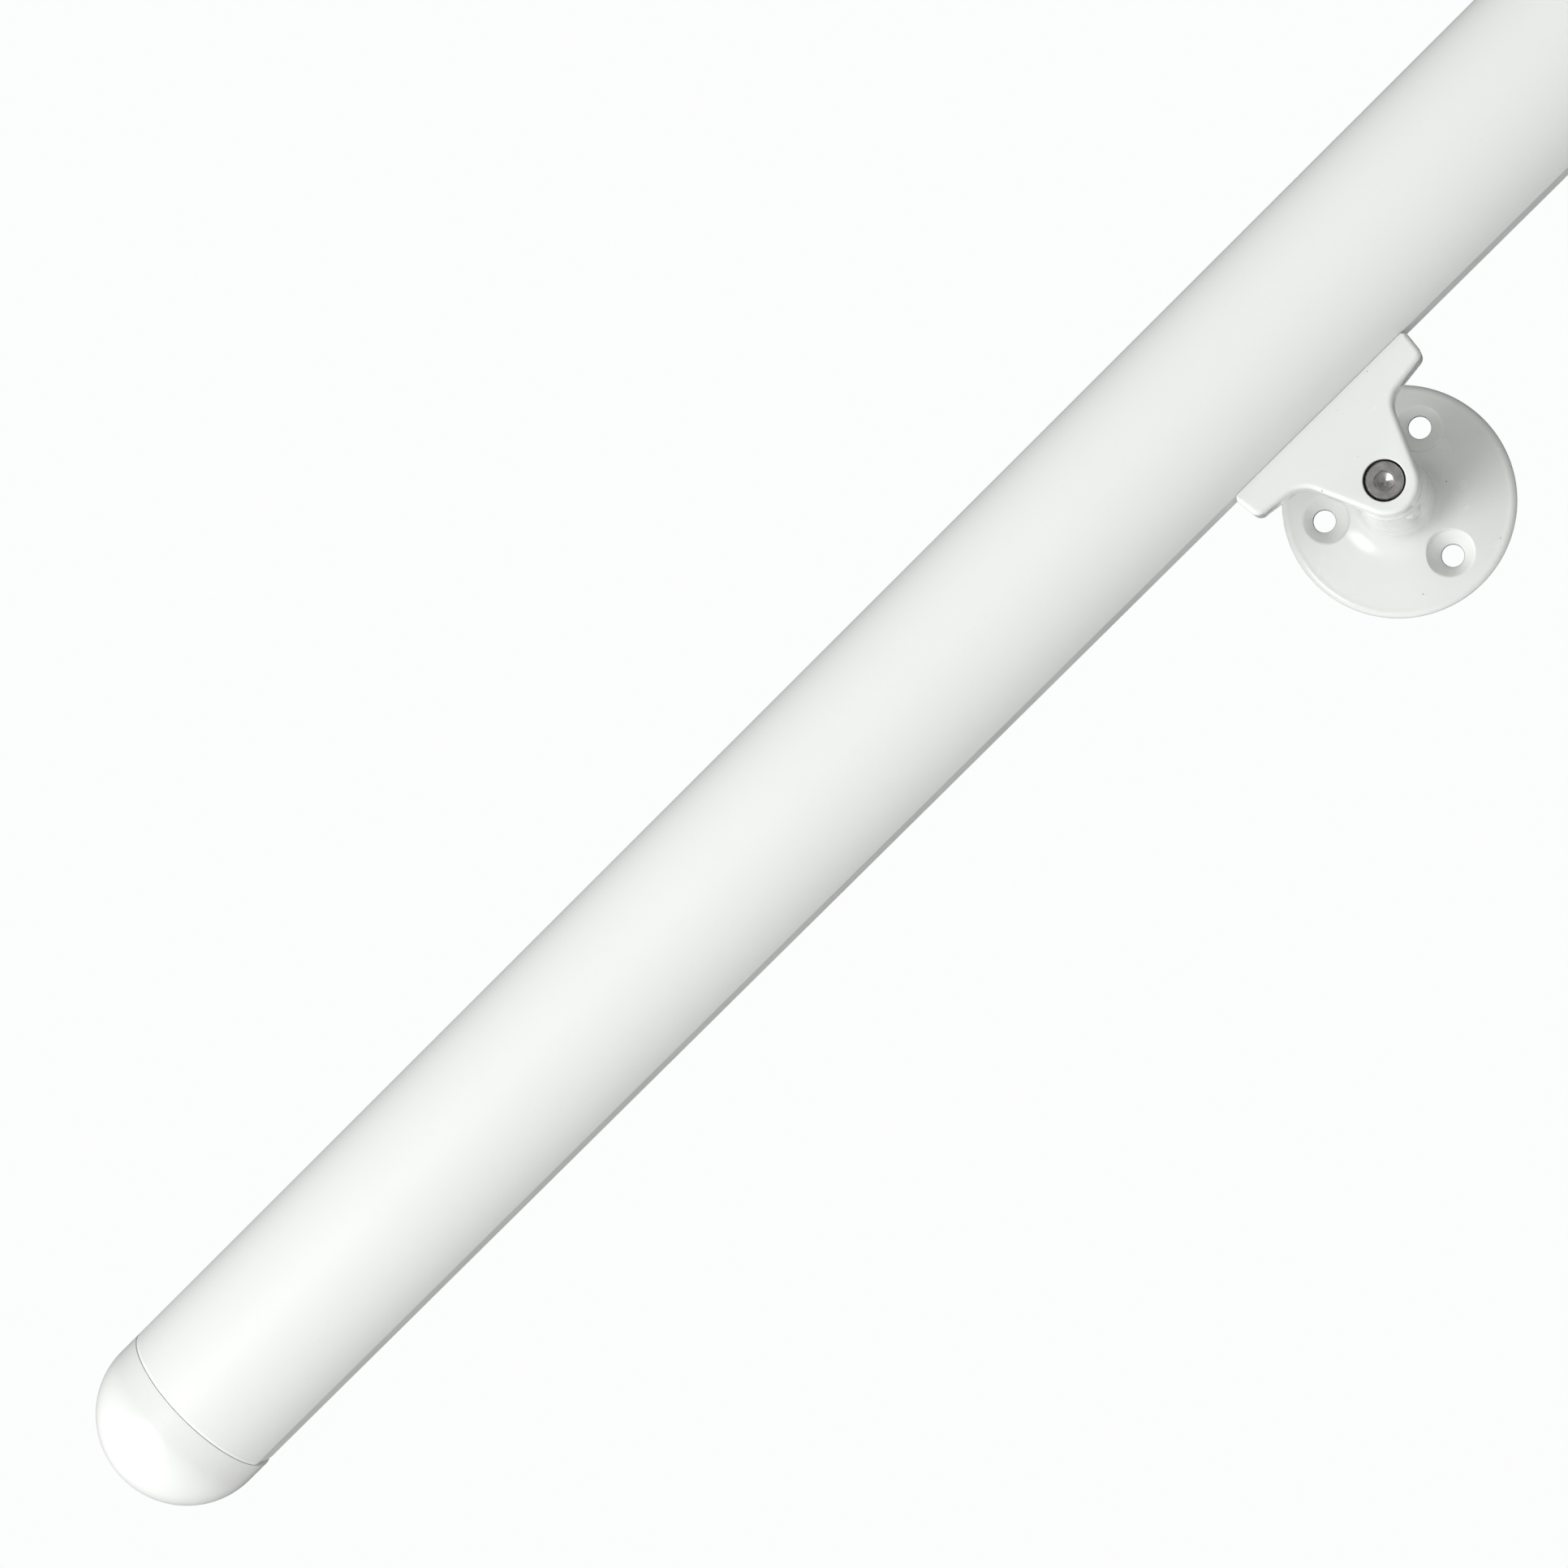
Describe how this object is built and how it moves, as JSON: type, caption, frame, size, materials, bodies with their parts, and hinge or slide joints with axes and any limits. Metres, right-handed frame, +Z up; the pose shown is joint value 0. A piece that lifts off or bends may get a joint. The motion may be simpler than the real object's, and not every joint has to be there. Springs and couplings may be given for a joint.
{
  "type": "wall handrail",
  "caption": "White round handrail with a flat underside, domed end caps and wall brackets whose saddles pivot about a socket-head bolt to set the slope.",
  "frame": {"origin": "on the wall plane, midway between the two brackets, level with their pivot axes", "axes": "+X along the rail, +Y into the wall, +Z up"},
  "size_m": [1.5, 0.1, 0.1061],
  "materials": {
    "white_powder_coat": "satin powder coat on extruded aluminium",
    "white_cast_coat": "semi-gloss powder coat on die casting",
    "white_cap": "semi-gloss powder coat",
    "stainless_steel": "turned and tumbled",
    "zinc_plated_steel": "bright zinc plate",
    "black_polyamide": "moulded, matt"
  },
  "bodies": {
    "rail": {"rail_profile": "white_powder_coat", "end_cap_left": "white_cap", "end_cap_right": "white_cap", "cap_insert_left": "black_polyamide", "cap_insert_right": "black_polyamide", "cap_insert_screw_left": "zinc_plated_steel", "cap_insert_screw_right": "zinc_plated_steel", "saddle_left": "white_cast_coat", "saddle_right": "white_cast_coat", "saddle_screw_left_outer": "zinc_plated_steel", "saddle_screw_left_inner": "zinc_plated_steel", "saddle_screw_right_outer": "zinc_plated_steel", "saddle_screw_right_inner": "zinc_plated_steel"},
    "wall_bracket_left": {"wall_flange_left": "white_cast_coat", "pivot_bolt_left": "stainless_steel", "spring_washer_left": "stainless_steel", "pivot_washer_left": "black_polyamide"},
    "wall_bracket_right": {"wall_flange_right": "white_cast_coat", "pivot_bolt_right": "stainless_steel", "spring_washer_right": "stainless_steel", "pivot_washer_right": "black_polyamide"}
  },
  "joints": [
    {"name": "slope_pivot_left", "type": "hinge", "parent": "rail", "child": "wall_bracket_left", "pos_m": [-0.3145, 0, 0], "axis": [0, 1, 0], "continuous": true},
    {"name": "slope_pivot_right", "type": "hinge", "parent": "rail", "child": "wall_bracket_right", "pos_m": [0.3145, 0, 0], "axis": [0, 1, 0], "continuous": true}
  ]
}
